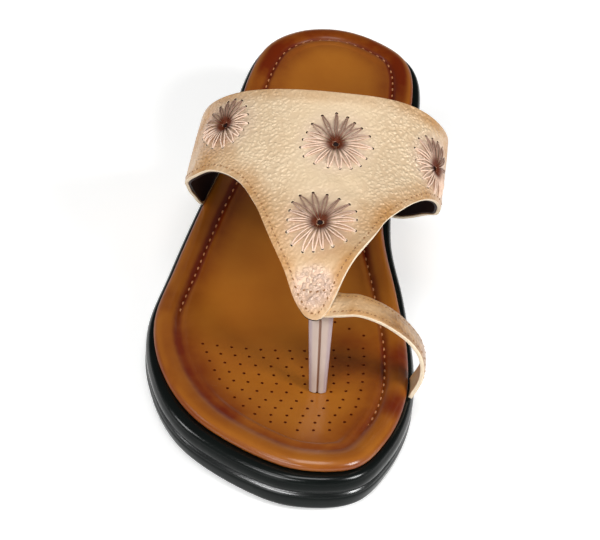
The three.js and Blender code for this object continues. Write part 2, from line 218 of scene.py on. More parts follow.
def lay(name, rows, closed=False):
    """A new piece: a grid laid through rows of points, in millimetres of the drawing."""
    rows = np.asarray(rows, float)
    if closed:
        rows = np.concatenate([rows, rows[:, :1]], axis=1)
    bpy.ops.object.select_all(action="DESELECT")
    bpy.ops.mesh.primitive_grid_add(x_subdivisions=rows.shape[1] - 1, y_subdivisions=rows.shape[0] - 1)
    piece = bpy.context.object
    piece.name = piece.data.name = name
    piece.data.vertices.foreach_set("co", ((rows + SHIFT) * MM).ravel())
    piece.data.update()
    return piece


def select(piece, *others):
    """Selects these pieces alone and makes the first one active."""
    bpy.ops.object.select_all(action="DESELECT")
    for each in (piece, *others):
        each.select_set(True)
    bpy.context.view_layer.objects.active = piece


def weld(piece, *others):
    """Joins pieces into the first, closes the seams between them and turns their faces outwards."""
    select(piece, *others)
    if others:
        bpy.ops.object.join()
    bpy.ops.object.mode_set(mode="EDIT")
    bpy.ops.mesh.select_all(action="SELECT")
    bpy.ops.mesh.remove_doubles(threshold=0.01 * MM)
    bpy.ops.mesh.normals_make_consistent(inside=False)
    bpy.ops.object.mode_set(mode="OBJECT")
    return piece


def modify(piece, kind, **settings):
    """Adds a modifier with its settings and applies it."""
    bpy.context.view_layer.objects.active = piece
    modifier = piece.modifiers.new(kind.title(), kind)
    for name, value in settings.items():
        setattr(modifier, name, value)
    bpy.ops.object.modifier_apply(modifier=modifier.name)


def smooth(piece, degrees):
    """Shades a piece smooth, with edges kept where faces meet at more than an angle."""
    select(piece)
    bpy.ops.object.shade_smooth_by_angle(angle=math.radians(degrees))


def colour(text):
    """Linear colour of an sRGB hex value."""
    parts = [int(text[k : k + 2], 16) / 255 for k in (1, 3, 5)]
    return [p / 12.92 if p <= 0.04045 else ((p + 0.055) / 1.055) ** 2.4 for p in parts] + [1]


def new_material(name):
    material = bpy.data.materials.new(name)
    material.use_nodes = True
    material.node_tree.nodes.clear()
    return material


def add(material, kind, inputs, output=None, **settings):
    """Adds a node with its settings, and sets or links its inputs. Returns its first output or a named one.

    An input given as text is a hex colour, or the name of a number that a piece keeps on its vertices.
    """
    made = material.node_tree.nodes.new("ShaderNode" + kind)
    for name, value in settings.items():
        setattr(made, name, value)
    for name, value in inputs.items():
        if isinstance(value, str) and value.startswith("#"):
            value = colour(value)
        elif isinstance(value, str):
            value = add(material, "Attribute", {}, output="Fac", attribute_name=value)
        if isinstance(value, bpy.types.NodeSocket):
            material.node_tree.links.new(value, made.inputs[name])
        else:
            made.inputs[name].default_value = value
    if output:
        return made.outputs[output]
    return next((out for out in made.outputs if out.enabled), None)


def corners(piece):
    """Places of a piece's vertices."""
    places = np.empty(len(piece.data.vertices) * 3)
    piece.data.vertices.foreach_get("co", places)
    return places.reshape(-1, 3)


def normals_of(piece):
    normals = np.empty(len(piece.data.vertices) * 3, np.float32)
    piece.data.vertex_normals.foreach_get("vector", normals)
    return normals.reshape(-1, 3)


def mark(piece, name, values):
    """Keeps one number for each vertex, for a material to read."""
    kept = piece.data.attributes.new(name, "FLOAT", "POINT")
    kept.data.foreach_set("value", np.asarray(values, np.float32))


to_inner, to_outer = np.maximum(OUTWARD[:, 0], 0), np.maximum(-OUTWARD[:, 0], 0)
tuck = INNER_TUCK * to_inner * (1 - ease(EDGE[:, 1], *TUCK_ENDS))
tuck += OUTER_TUCK * to_outer * ease(EDGE[:, 1], *OUTER_STARTS)
side_rows = []
for level, rise, out in SOLE_SIDE:
    height = LEVELS[level](EDGE[:, 1]) + rise
    depth = np.maximum(groove(EDGE[:, 1]) - height, 0)
    flare = OUTER_FLARE * to_outer * (1 - ease(EDGE[:, 1], *FLARE_ENDS))
    flare *= np.minimum(rim(EDGE[:, 1]) - height, 1)
    side_rows.append(ring(out - DRAFT * depth - tuck + flare, height))
outsole = weld(
    lay("wedge_sole", side_rows, closed=True),
    lay("sole_seat", cross_lines(side_rows[0], 2)),
    lay("sole_tread", cross_lines(side_rows[-1], 12)),
)
modify(outsole, "SUBSURF", levels=1, render_levels=1)
smooth(outsole, 60)
back = corners(outsole)[:, 1] / MM - SHIFT[1]
over = corners(outsole)[:, 2] / MM - groove(back)
polish = ease(normals_of(outsole)[:, 2], *GLOSSY_FACES) * (1 - BAND_DULL * ease(over, 0, 0.5))
mark(outsole, "polished", polish * (1 - SIDE_DULL * ease(back, *SIDE_STARTS)))

# Moulded polyurethane: near black with a cool cast and glossy from the mould. Its skin is a little uneven,
# so highlights along the rim and the shoulder break up.
polyurethane = new_material("moulded_black_polyurethane")
spot = add(polyurethane, "TexCoord", {}, output="Object")
waves = add(polyurethane, "TexNoise", {"Vector": spot, "Scale": 1 / (9 * MM), "Detail": 3})
ripples = add(polyurethane, "TexNoise", {"Vector": spot, "Scale": 1 / (2.2 * MM), "Detail": 2})
relief = add(polyurethane, "Bump", {"Height": waves, "Strength": 0.3, "Distance": 0.5 * MM})
relief = add(
    polyurethane,
    "Bump",
    {"Height": ripples, "Normal": relief, "Strength": 0.3, "Distance": 0.12 * MM},
)
dull = add(polyurethane, "MapRange", {"Value": waves, "To Min": 0.08, "To Max": 0.24})
tone = add(polyurethane, "MixRGB", {"Fac": waves, "Color1": "#050807", "Color2": "#0b110f"})
shader = add(
    polyurethane,
    "BsdfPrincipled",
    {"Base Color": tone, "Roughness": dull, "Normal": relief, "IOR": 1.5, "Specular IOR Level": 0.1,
     "Coat Weight": "polished", "Coat Roughness": 0.22, "Coat IOR": 1.8},
)
add(polyurethane, "OutputMaterial", {"Surface": shader})
outsole.data.materials.append(polyurethane)
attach(outsole, "root")
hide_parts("outsole")

# Insole
# A foam footbed wrapped in glazed tan leather, with a padded roll round its edge, a sewn groove inside it
# and a dished middle. Rows of small holes are punched under the toes and one row runs across the arch.
SEAM = 0.3  # between pieces that are glued or sewn together
ARCH_LIFT = 2  # how far the inner side of the arch is raised
ARCH_ACROSS = (-5, 25)
PANEL_INSET = 13  # from the edge to the panel inside the roll
PANEL_HEIGHT = 3.1
DISH_FRONT = 1.2  # depth of the dished middle at the ball, and then at the heel
DISH_HEEL = 2.4
DISH_STARTS = (-108, -78)
DISH_DEEPENS = (10, 80)
DISH_ENDS = (84, 110)
STITCH_INSET = 8.7
GROOVE_HEIGHT = 1.9
EDGE_ROLL = (  # inset from the edge, height over the rim, and height where the groove runs out at the toe
    (6, SEAM, SEAM),
    (1.2, SEAM, SEAM),
    (0.3, 0.7, 0.7),
    (0, 1.7, 1.7),
    (0.3, 2.6, 2.6),
    (1.4, 3.6, 3.6),
    (3.2, 4.15, 4.15),
    (5.2, 4.1, 4.05),
    (6.6, 3.75, 3.6),
    (7.6, 3.2, 3.2),
    (8.3, 2.5, 2.95),
    (STITCH_INSET, GROOVE_HEIGHT, 2.85),
    (9.1, 2.5, 2.8),
    (9.6, 3, 2.82),
    (10.6, 3.2, 2.95),
    (11.9, 3.2, 3.08),
)
SOFT_OUTER = (44, 66)  # ahead of these, on either side, the groove runs out and no stitches show
SOFT_INNER = (90, 104)
HOLE_WIDTH = 1.1
HOLE_DEPTH = 0.8
HOLE_ROWS = table(  # rows across the foot, from the ball to the toe, with their ends and number of holes
    "y outer inner holes",
    (-58.1, -31.2, 27.1, 12),
    (-62.5, -29.1, 27.8, 12),
    (-67.2, -27.3, 28.1, 11),
    (-72.1, -24.8, 28.3, 11),
    (-76.7, -22.3, 28.4, 11),
    (-81.3, -18.8, 28.2, 10),
    (-86, -15.6, 27.8, 9),
    (-90.3, -12, 27.2, 8),
    (-94.4, -7.4, 25.9, 7),
    (-98.3, -1.5, 24, 6),
    (-102.5, 8.2, 19.2, 3),
)
ROW_SLANT = 0.16  # a row runs this much to the heel for each millimetre to the inner side
ROW_BOW = 0.0015  # and this much more for the square of that way
ARCH_ROW = ((26.7, -45.8), (21.5, -43.2), (4, -34.5))
ARCH_HOLES = 5
NEAR_HEEL = (55, 100)  # along Y, where the heel's burnish starts and where it is full
NEAR_TOE = (40, 80)  # the same for the toe, along -Y
RUBBED_AND_SHADED_PATCHES = table(  # red-brown patches on the roll and beside the loop
    "x y reach share",
    # painted shade where the toe loop and the tongue shade the roll and the panel
    (41, -81, 13, 0.95),
    (42, -56, 17, 0.9),
    (23, -58, 24, 0.6),
    # rubbed red-brown patches on the outer roll
    (-47, -42, 14, 0.5),
    (-40, -84, 10, 0.4),
)


def arch_lift(x, y):
    return ARCH_LIFT * arch_share(y) * ease(x, *ARCH_ACROSS)


def footbed(x, y):
    """Height of the leather over the middle of the footbed."""
    outer = np.interp(y, outer_line[:, 1], outer_line[:, 0])
    inner = np.interp(y, inner_line[:, 1], inner_line[:, 0])
    reach = np.maximum((inner - outer) / 2 - PANEL_INSET, 1)
    across = np.clip((x - (outer + inner) / 2) / reach, -1, 1)
    ends = ease(y, *DISH_STARTS) * (1 - ease(y, *DISH_ENDS))
    depth = (DISH_FRONT + (DISH_HEEL - DISH_FRONT) * ease(y, *DISH_DEEPENS)) * (1 - across**2) ** 1.5 * ends
    return rim(y) + PANEL_HEIGHT + arch_lift(x, y) - depth


def roll_ring(inset, up):
    """A line of the insole's edge roll."""
    line = ring(-inset, 0)
    crest = max(height for _, height, _ in EDGE_ROLL)
    line[:, 2] = rim(EDGE[:, 1]) + up + arch_lift(line[:, 0], EDGE[:, 1]) * (up - SEAM) / crest
    return line


def distances(line, points):
    """Distance from each point to the nearest point of a line."""
    tree = KDTree(len(line))
    for k, place in enumerate(line):
        tree.insert(place, k)
    tree.balance()
    return np.array([tree.find(place)[2] for place in points])


def repeat(name, pattern, places, along, up):
    """One piece of many copies of a pattern, each with its X along a direction and its Z up."""
    up = up / np.linalg.norm(up, axis=1)[:, None]
    side = np.cross(up, along)
    side /= np.linalg.norm(side, axis=1)[:, None]
    axes = np.stack([np.cross(side, up), side, up], axis=1)
    spots = places[:, None] + np.einsum("vk,nkc->nvc", corners(pattern), axes)
    faces = [tuple(face.vertices) for face in pattern.data.polygons]
    count = len(pattern.data.vertices)
    mesh = bpy.data.meshes.new(name)
    mesh.from_pydata(
        spots.reshape(-1, 3),
        [],
        [tuple(v + count * k for v in face) for k in range(len(places)) for face in faces],
    )
    bpy.data.objects.remove(pattern)
    piece = bpy.data.objects.new(name, mesh)
    bpy.context.collection.objects.link(piece)
    return piece


soft = np.r_[ease(-EDGE[:half, 1], *SOFT_OUTER), ease(-EDGE[half:, 1], *SOFT_INNER)]
roll_rows = [roll_ring(inset, up + (up_toe - up) * soft) for inset, up, up_toe in EDGE_ROLL]
panel_edge = ring(-PANEL_INSET, 0)
panel_edge[:, 2] = footbed(panel_edge[:, 0], panel_edge[:, 1])
panel_lines = cross_lines(panel_edge, 32)
panel_lines[1:-1, 1:-1, 2] = footbed(panel_lines[1:-1, 1:-1, 0], panel_lines[1:-1, 1:-1, 1])
insole = weld(
    lay("footbed", [*roll_rows, panel_edge], closed=True),
    lay("footbed_under", cross_lines(roll_rows[0], 2)),
    lay("footbed_panel", panel_lines),
)
modify(insole, "SUBSURF", levels=1, render_levels=1)

hole_rows = [spaced(smooth_curve(ARCH_ROW, 60), ARCH_HOLES)]
for y, outer, inner, holes in zip(*HOLE_ROWS.values()):
    x = np.linspace(outer, inner, int(holes))
    hole_rows.append(np.c_[x, y + x * ROW_SLANT + x * x * ROW_BOW])
hole_spots = np.vstack(hole_rows)
hole_spots = np.c_[hole_spots, footbed(hole_spots[:, 0], hole_spots[:, 1])]
bpy.ops.object.select_all(action="DESELECT")
bpy.ops.mesh.primitive_cylinder_add(vertices=10, radius=HOLE_WIDTH / 2 * MM, depth=2 * HOLE_DEPTH * MM)
punch = repeat(
    "punch",
    bpy.context.object,
    (hole_spots + SHIFT) * MM,
    np.tile((1.0, 0, 0), (len(hole_spots), 1)),
    np.tile((0, 0, 1.0), (len(hole_spots), 1)),
)
modify(insole, "BOOLEAN", object=punch, operation="DIFFERENCE", solver="EXACT")
bpy.data.objects.remove(punch)
smooth(insole, 50)
plan = corners(insole) * (1, 1, 0)
flat_edge = np.c_[edge_line, np.zeros(len(edge_line))]
inset = distances((flat_edge + SHIFT) * MM, plan) / MM
back = plan[:, 1] / MM - SHIFT[1]
at_heel, at_toe = ease(back, *NEAR_HEEL), ease(-back, *NEAR_TOE)
# Shares of burnish by the way in from the edge, in millimetres
on_roll = ease(inset, 1, 4) * (1 - ease(inset, 7, 9.5))
in_groove = ease(inset, 5, 8.4) * (1 - ease(inset, 9.2, 11.5 + 3 * at_toe))
round_panel = ease(inset, 8, 11) * (1 - ease(inset, 11, 20 + 4 * at_toe))
burnish_and_shade = np.maximum.reduce(
    [
        0.6 * (1 - ease(inset, 0.3, 2)),
        (0.32 + 0.6 * at_heel) * on_roll,
        (1 - 0.15 * at_toe) * in_groove,
        (0.45 + 0.25 * at_toe) * round_panel,
    ]
)
# the first three patches are painted shade of the loop and the tongue, the last two are rubbing
for x, y, reach, share in zip(*RUBBED_AND_SHADED_PATCHES.values()):
    away = np.hypot(plan[:, 0] / MM - SHIFT[0] - x, back - y)
    burnish_and_shade = np.maximum(burnish_and_shade, share * (1 - ease(away, 0.2 * reach, reach)))
mark(insole, "burnish_and_shade", burnish_and_shade)
worn_edge = (1 - ease(inset, 0.8, 2.6)) * (1 - 0.7 * ease(-back, 98, 112))
mark(insole, "worn", np.maximum(worn_edge, 0.9 * at_heel * on_roll))
hole_plan = (hole_spots + SHIFT) * MM * (1, 1, 0)
mark(insole, "hole", distances(hole_plan, plan) / MM)

# Glazed tan leather: cognac, rubbed red-brown round the middle and darker still in the groove and along the
# edge, with a shallow grain under a glossy finish. Beside and behind the toe loop the red-brown is painted
# shade of the loop and the tongue, and the punched holes are darkened with painted shade. The grain is
# drawn twice as coarse as it is, to show.
glazed = new_material("glazed_tan_leather")
spot = add(glazed, "TexCoord", {}, output="Object")
cloud = add(glazed, "TexNoise", {"Vector": spot, "Scale": 1 / (30 * MM), "Detail": 4, "Roughness": 0.6})
grain = add(glazed, "TexNoise", {"Vector": spot, "Scale": 1 / (1.1 * MM), "Detail": 3})
tone = add(glazed, "MixRGB", {"Fac": cloud, "Color1": "#8d4a0f", "Color2": "#ab691d"})
patchy = add(
    glazed,
    "MapRange",
    {"Value": cloud, "From Min": 0.35, "From Max": 0.65, "To Min": 1.4, "To Max": 0.65},
)
# burnish together with the painted shade of the loop and the tongue
rubbed = add(glazed, "Math", {0: "burnish_and_shade", 1: patchy}, operation="MULTIPLY", use_clamp=True)
tone = add(glazed, "MixRGB", {"Fac": rubbed, "Color1": tone, "Color2": "#672003"})
# painted shade in the punched holes of the footbed
in_hole = add(
    glazed,
    "MapRange",
    {"Value": "hole", "From Min": 0.5 * HOLE_WIDTH, "From Max": 0.5 * HOLE_WIDTH + 0.1,
     "To Min": 1, "To Max": 0},
)
tone = add(glazed, "MixRGB", {"Fac": in_hole, "Color1": tone, "Color2": "#6e2a06"})
relief = add(glazed, "Bump", {"Height": grain, "Strength": 0.22, "Distance": 0.1 * MM})
gloss = add(glazed, "MapRange", {"Value": "worn", "To Min": 1, "To Max": 0.1})
dull = add(glazed, "MapRange", {"Value": cloud, "To Min": 0.34, "To Max": 0.48})
shader = add(
    glazed,
    "BsdfPrincipled",
    {"Base Color": tone, "Roughness": dull, "Normal": relief, "Specular IOR Level": 0.1,
     "Coat Weight": gloss, "Coat Roughness": 0.2},
)
add(glazed, "OutputMaterial", {"Surface": shader})
insole.data.materials.append(glazed)
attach(insole, "root")
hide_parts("insole")

# Footbed stitches
# Amber waxed thread sewn in the groove of the insole, lost under the leather where the groove runs out at
# the toe. Each stitch is a short bow of thread that dips into the leather at both ends.
FOOTBED_PITCH = 3.9
FOOTBED_STITCH = 0.55 * FOOTBED_PITCH
THREAD = 0.75
THREAD_LIFT = 0.15  # over the bottom of the groove
SEWN_PAST = 4  # how far stitches go on where the groove starts to run out
BOW_LIFT = 0.12  # as a share of the thread's width, as the next one
END_SINK = 0.75
BLUNT = 1.6  # how much fuller than a ball's the ends of a stitch are at most


def stitch(length, width):
    """One bow of thread along X, with its ends sunk in."""
    bpy.ops.object.select_all(action="DESELECT")
    bpy.ops.mesh.primitive_uv_sphere_add(segments=8, ring_count=8, radius=1)
    bow = bpy.context.object
    bpy.ops.object.mode_set(mode="EDIT")
    bpy.ops.mesh.select_all(action="SELECT")
    bpy.ops.transform.rotate(value=math.pi / 2, orient_axis="Y", center_override=(0, 0, 0))
    bpy.ops.transform.resize(value=(length / 2 * MM, width / 2 * MM, width / 2 * MM))
    bpy.ops.object.mode_set(mode="OBJECT")
    places = corners(bow)
    reach = np.abs(places[:, 0]) / (length / 2 * MM)
    fuller = np.sqrt(np.clip(1 - reach**4, 0, 1)) / np.sqrt(np.clip(1 - reach**2, 1e-3, 1))
    places[:, 1:] *= np.minimum(fuller, BLUNT)[:, None]
    places[:, 2] += BOW_LIFT * width * MM - END_SINK * width * MM * reach**2
    bow.data.vertices.foreach_set("co", places.ravel())
    return bow


groove_line = roll_ring(STITCH_INSET, GROOVE_HEIGHT + THREAD_LIFT)
groove_line = np.vstack([groove_line, groove_line[:1]])
length = np.linalg.norm(np.diff(groove_line, axis=0), axis=1).sum()
stitch_spots = spaced(groove_line, round(length / FOOTBED_PITCH) + 1)
directions = np.gradient(stitch_spots, axis=0)
ahead_of = np.where(stitch_spots[:, 0] < 0, SOFT_OUTER[0], SOFT_INNER[0])
sewn = -stitch_spots[:, 1] < ahead_of + SEWN_PAST
sewn[-1] = False
directions, stitch_spots = directions[sewn], stitch_spots[sewn]
footbed_stitches = repeat(
    "footbed_stitches",
    stitch(FOOTBED_STITCH, THREAD),
    (stitch_spots + SHIFT) * MM,
    directions,
    np.tile((0, 0, 1.0), (len(stitch_spots), 1)),
)
smooth(footbed_stitches, 80)

# Waxed thread: amber, with a soft shine
waxed_thread = new_material("waxed_amber_thread")
shader = add(
    waxed_thread,
    "BsdfPrincipled",
    {"Base Color": "#c07f4c", "Roughness": 0.4, "Sheen Weight": 0.2},
)
add(waxed_thread, "OutputMaterial", {"Surface": shader})
footbed_stitches.data.materials.append(waxed_thread)
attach(footbed_stitches, "root")

# Vamp
# The wide strap over the foot: pearl-finished pebbled leather, burnished tan along its edges, narrowing to
# a tongue that ends between the toes. Its cut edge stays pale and it is backed with a dark lining.
WALL = 2.2
LEATHER = 1.3
CUT_ROUND = 0.3  # how far the cut edge is rounded
LINING = 0.75
LINING_GAP = 0.08
LINING_TRIM = 0.006  # share of the way from edge to edge that the lining stays back at each
INNER_SQUARE = 2.5  # how square the arch is on the inner side, where 2 is an ellipse
CROWN_SHARE = 0.6  # share of the way round where the arch ends and the flank starts
AROUND_LENGTH = 85  # from the top of the vamp round to its base
VAMP_ROUND = 220
VAMP_ALONG = 72
VAMP = table(  # sections from the tip to the rear: top, its lean, and how far each side reaches
    "y topX topZ lean outX outZ square inX inZ",
    (-74, 8, 41.8, 0.5, -44, 34, 1.7, 44, 36),
    (-66, 8, 49.8, 0.55, -46, 37, 1.7, 46, 40),
    (-58, 8, 58.2, 0.36, -47, 38.5, 1.7, 47, 41.5),
    (-46, 7.5, 63.7, 0.11, -47.5, 39.5, 1.8, 48, 43),
    (-30, 7, 68.6, 0.05, -48, 40.5, 2, 49, 45),
    (-10, 7.5, 74.6, 0, -48, 41.5, 2.4, 49, 47.5),
    (20, 8, 84.6, 0, -47.5, 44, 2.6, 49.5, 51.5),
    (55, 8, 94, 0, -45, 49, 2.6, 49, 55),
)
FRONT_EDGE = table(  # cut edges: share of the way round from the top to either base, and y
    "around y",
    (-1, 14),
    (-0.8, 9.5),
    (-0.64, -1),
    (-0.53, -9.5),
    (-0.433, -15),
    (-0.336, -17.8),
    (-0.248, -24.6),
    (-0.192, -34.4),
    (-0.144, -46.8),
    (-0.084, -59.4),
    (-0.036, -68.8),
    (-0.012, -71.9),
    (0.015, -73),
    (0.042, -72.3),
    (0.06, -70),
    (0.09, -63.4),
    (0.143, -53.5),
    (0.179, -45.4),
    (0.203, -39.4),
    (0.24, -33.8),
    (0.3, -26),
    (0.356, -20.5),
    (0.423, -16),
    (0.6, -6.5),
    (0.8, 13),
    (1, 20),
)
REAR_EDGE = table(
    "around y",
    (-1, 46),
    (-0.8, 42),
    (-0.6, 29),
    (-0.42, 18.5),
    (-0.2, 12.6),
    (0, 12.2),
    (0.2, 14),
    (0.42, 18.6),
    (0.6, 29),
    (0.8, 41),
    (1, 46),
)
FLOWERS = ((0, -9.6), (-0.01, -43.7), (0.4, -2), (-0.308, 1))  # share of the way round, and y
FLOWER_HOLE = 2.4
PETALS = 18
PETAL_REACH = (12.4, 12.4, 12.2, 10.6)  # of each flower
DIMPLE = 1  # how far the leather dips at a flower
DIMPLE_WIDTH = 4
TIP_FOIL = (6.8, -64.5, 51)  # middle of the foil patch on the tip
RUB_EDGE = (1, 11)  # from the cut edge, where the rubbed tan is full and where it ends
FOIL_ROUND = (7, 17)  # the same for the foil round a flower, from its middle
FOIL_FLOWERS = (0.55, 0.5, 0.8, 0.5)  # how much foil there is round each flower
FOIL_TIP = (5, 10)
FLOWER_SHADE = (1.6, 5.5)  # from a flower's middle, where its painted shade is full and where it ends
GATHERS = (3.5, 7.5)  # from the rear edge, where its gathers are full and where they end
CREASES = table(  # both ends of a soft trough, as share round and y, with its depth and half width
    "around y toAround toY depth width",
    (0, -22, 0.13, -33, 0.25, 2.2),
    (0.2, 3, 0.24, -18, 0.2, 2.5),
    (-0.2, 2, -0.16, -20, 0.2, 2.5),
    (-0.4, 10, -0.46, -8, 0.3, 3),
    (0.46, 12, 0.5, -4, 0.3, 3),
    (0.06, -30, -0.08, -34, 0.15, 2),
)


def vamp_section(inner, y, depth):
    """Top and reach of the vamp's arch on the inner or outer side, and how square it is."""
    reach_x = np.where(inner, column(VAMP, "inX", y) - depth, column(VAMP, "outX", y) + depth)
    reach = np.where(inner, column(VAMP, "inZ", y), column(VAMP, "outZ", y))
    power = np.where(inner, INNER_SQUARE, column(VAMP, "square", y))
    return column(VAMP, "topX", y), column(VAMP, "topZ", y) - depth, reach_x, reach, power


def vamp_point(around, y, depth):
    """A point at a share of the way round: on a squared arch to the flanks, which curl in to the rim."""
    inner = around > 0
    top_x, top, reach_x, reach, power = vamp_section(inner, y, depth)
    share = np.abs(around)
    angle = np.minimum(share / CROWN_SHARE, 1) * np.pi / 2
    sine, cosine = np.sin(angle), np.abs(np.cos(angle))
    size = (sine**power + cosine**power) ** (-1 / power)
    across = (reach_x - top_x) * sine * size
    crown_z = reach + (top - reach + column(VAMP, "lean", y) * across) * cosine * size
    turn = np.clip((share - CROWN_SHARE) / (1 - CROWN_SHARE), 0, 1) * np.pi / 2
    base_x = np.where(
        inner,
        np.interp(y, inner_line[:, 1], inner_line[:, 0]) + SEAM,
        np.interp(y, outer_line[:, 1], outer_line[:, 0]) - SEAM,
    )
    base = rim(y) + SEAM + depth
    flank = share > CROWN_SHARE
    x = np.where(flank, base_x + (reach_x - base_x) * np.cos(turn), top_x + across)
    z = np.where(flank, reach - (reach - base) * np.sin(turn), crown_z)
    return np.stack([x, y, z], axis=-1)


def cut_line(edge):
    return spaced(smooth_curve(np.c_[edge["around"] * AROUND_LENGTH, edge["y"]], 2000), VAMP_ROUND + 1)


def vamp_sheet(name, depth, trim):
    """The vamp's sheet at a depth, its rows closer together near the cut edges."""
    even = np.linspace(0, 1, VAMP_ALONG + 1)
    share = trim + (1 - 2 * trim) * (0.55 * even + 0.45 * ease(even, 0, 1))
    flat = rear[:, None] + (front - rear)[:, None] * share[None, :, None]
    return lay(name, vamp_point(np.clip(flat[..., 0] / AROUND_LENGTH, -1, 1), flat[..., 1], depth))


def tree_of(piece):
    return BVHTree.FromPolygons(
        [v.co for v in piece.data.vertices], [tuple(face.vertices) for face in piece.data.polygons]
    )


def settle(tree, places):
    """The nearest places on a sheet, with its normals there."""
    found = [tree.find_nearest(Vector(place)) for place in places]
    return np.array([hit[0] for hit in found]), np.array([hit[1] for hit in found])


# Pearl leather: cream goat grain, rubbed tan at the edges, with a rose foil shine round the flowers and on
# the tip. Dark brown at each flower's middle and between its threads is painted shade; the loop is darker
# brown where it runs down beside the big toe.
pearl = new_material("pearl_pebbled_leather")
spot = add(pearl, "TexCoord", {}, output="Object")
stir = add(pearl, "TexNoise", {"Vector": spot, "Scale": 1 / (2.2 * MM), "Detail": 2})
cloud = add(pearl, "TexNoise", {"Vector": spot, "Scale": 1 / (14 * MM), "Detail": 3})
stirred = add(pearl, "MixRGB", {"Fac": 1.8 * MM, "Color1": spot, "Color2": stir}, blend_type="ADD")
pebble = add(
    pearl,
    "TexVoronoi",
    {"Vector": stirred, "Scale": 1 / (1.35 * MM), "Smoothness": 0.5},
    feature="SMOOTH_F1",
)
dome = add(
    pearl,
    "MapRange",
    {"Value": pebble, "From Min": 0.1, "From Max": 0.65, "To Min": 1, "To Max": 0},
)
dome = add(pearl, "Math", {0: dome, 1: "grain"}, operation="MULTIPLY")
# Gathers along the rear edge, about a millimetre apart and four times as long
edge_spot = add(pearl, "CombineXYZ", {"X": "along", "Y": "from_rear"})
edge_spot = add(pearl, "VectorMath", {0: edge_spot, 1: (0.8, 0.2, 0)}, operation="MULTIPLY")
wrinkle = add(pearl, "TexNoise", {"Vector": edge_spot, "Scale": 1, "Detail": 2})
gather = add(pearl, "Math", {0: wrinkle, 1: "gathered"}, operation="MULTIPLY")
uneven = add(pearl, "MapRange", {"Value": cloud, "From Min": 0.3, "From Max": 0.7, "To Min": 0.45})
shiny = add(pearl, "Math", {0: "foil", 1: uneven}, operation="MULTIPLY")
rub = add(pearl, "Math", {0: "rubbed", 1: uneven}, operation="MULTIPLY")
tone = add(pearl, "MixRGB", {"Fac": cloud, "Color1": "#ead5b5", "Color2": "#e2c6a0"})
tone = add(pearl, "MixRGB", {"Fac": rub, "Color1": tone, "Color2": "#bd8748"})
tone = add(pearl, "MixRGB", {"Fac": shiny, "Color1": tone, "Color2": "#ebcfc0"})
valley = add(pearl, "Math", {0: "grain", 1: dome}, operation="SUBTRACT")
valley = add(pearl, "Math", {0: valley, 1: 0.3}, operation="MULTIPLY")
tone = add(pearl, "MixRGB", {"Fac": valley, "Color1": tone, "Color2": "#a07346"})
blotch = add(
    pearl,
    "MapRange",
    {"Value": stir, "From Min": 0.35, "From Max": 0.6, "To Min": 0.45, "To Max": 1.2},
)
# painted shade round the flowers' middles, and the loop's darker brown
shade_and_dark_blotch = add(pearl, "Math", {0: "shade_and_darkening", 1: blotch}, operation="MULTIPLY", use_clamp=True)
tone = add(pearl, "MixRGB", {"Fac": shade_and_dark_blotch, "Color1": tone, "Color2": "#471604"})
relief = add(pearl, "Bump", {"Height": dome, "Strength": 0.9, "Distance": 0.36 * MM})
relief = add(pearl, "Bump", {"Height": gather, "Normal": relief, "Strength": 0.6, "Distance": 0.6 * MM})
dull = add(pearl, "MapRange", {"Value": shiny, "To Min": 0.38, "To Max": 0.26})
metal = add(pearl, "MapRange", {"Value": shiny, "To Min": 0.1, "To Max": 0.4})
shader = add(
    pearl,
    "BsdfPrincipled",
    {"Base Color": tone, "Roughness": dull, "Metallic": metal, "Normal": relief,
     "Coat Weight": 0.15, "Coat Roughness": 0.3},
)
add(pearl, "OutputMaterial", {"Surface": shader})

# Cut leather edge: pale raw fibre, dull. The fibres are drawn much coarser than they are, to show.
raw_edge = new_material("raw_leather_edge")
spot = add(raw_edge, "TexCoord", {}, output="Object")
fibre = add(raw_edge, "TexNoise", {"Vector": spot, "Scale": 1 / (0.8 * MM), "Detail": 3})
tone = add(raw_edge, "MixRGB", {"Fac": fibre, "Color1": "#d8c09c", "Color2": "#f2e6d0"})
relief = add(raw_edge, "Bump", {"Height": fibre, "Strength": 0.4, "Distance": 0.1 * MM})
shader = add(raw_edge, "BsdfPrincipled", {"Base Color": tone, "Roughness": 0.65, "Normal": relief})
add(raw_edge, "OutputMaterial", {"Surface": shader})

# Lining: dark maroon leatherette with a fine matt grain, drawn twice as coarse as it is, to show
leatherette = new_material("maroon_lining_leatherette")
spot = add(leatherette, "TexCoord", {}, output="Object")
grain = add(leatherette, "TexNoise", {"Vector": spot, "Scale": 1 / (0.9 * MM), "Detail": 3})
tone = add(leatherette, "MixRGB", {"Fac": grain, "Color1": "#180d0b", "Color2": "#2b1815"})
relief = add(leatherette, "Bump", {"Height": grain, "Strength": 0.3, "Distance": 0.1 * MM})
shader = add(
    leatherette,
    "BsdfPrincipled",
    {"Base Color": tone, "Roughness": 0.6, "Normal": relief, "Specular IOR Level": 0.2},
)
add(leatherette, "OutputMaterial", {"Surface": shader})

rear, front = cut_line(REAR_EDGE), cut_line(FRONT_EDGE)
vamp = vamp_sheet("vamp_leather", 0, 0)
vamp.data.materials.append(pearl)
vamp.data.materials.append(raw_edge)
flower_spots = (vamp_point(*np.array(FLOWERS, float).T, 0) + SHIFT) * MM
places, normals = corners(vamp), normals_of(vamp)
dent = np.zeros(len(places))
for spot in flower_spots:
    dent += DIMPLE * np.exp(-((np.linalg.norm(places - spot, axis=1) / (DIMPLE_WIDTH * MM)) ** 2))
for around, y, to_around, to_y, depth, width in zip(*CREASES.values()):
    trough = vamp_point(np.linspace(around, to_around, 30), np.linspace(y, to_y, 30), 0)
    away = distances((trough + SHIFT) * MM, places) / MM / width
    dent += depth * (np.exp(-(away**2)) - 0.5 * np.exp(-((away - 2) ** 2)))
vamp.data.vertices.foreach_set("co", (places - normals * dent[:, None] * MM).ravel())
vamp.data.update()
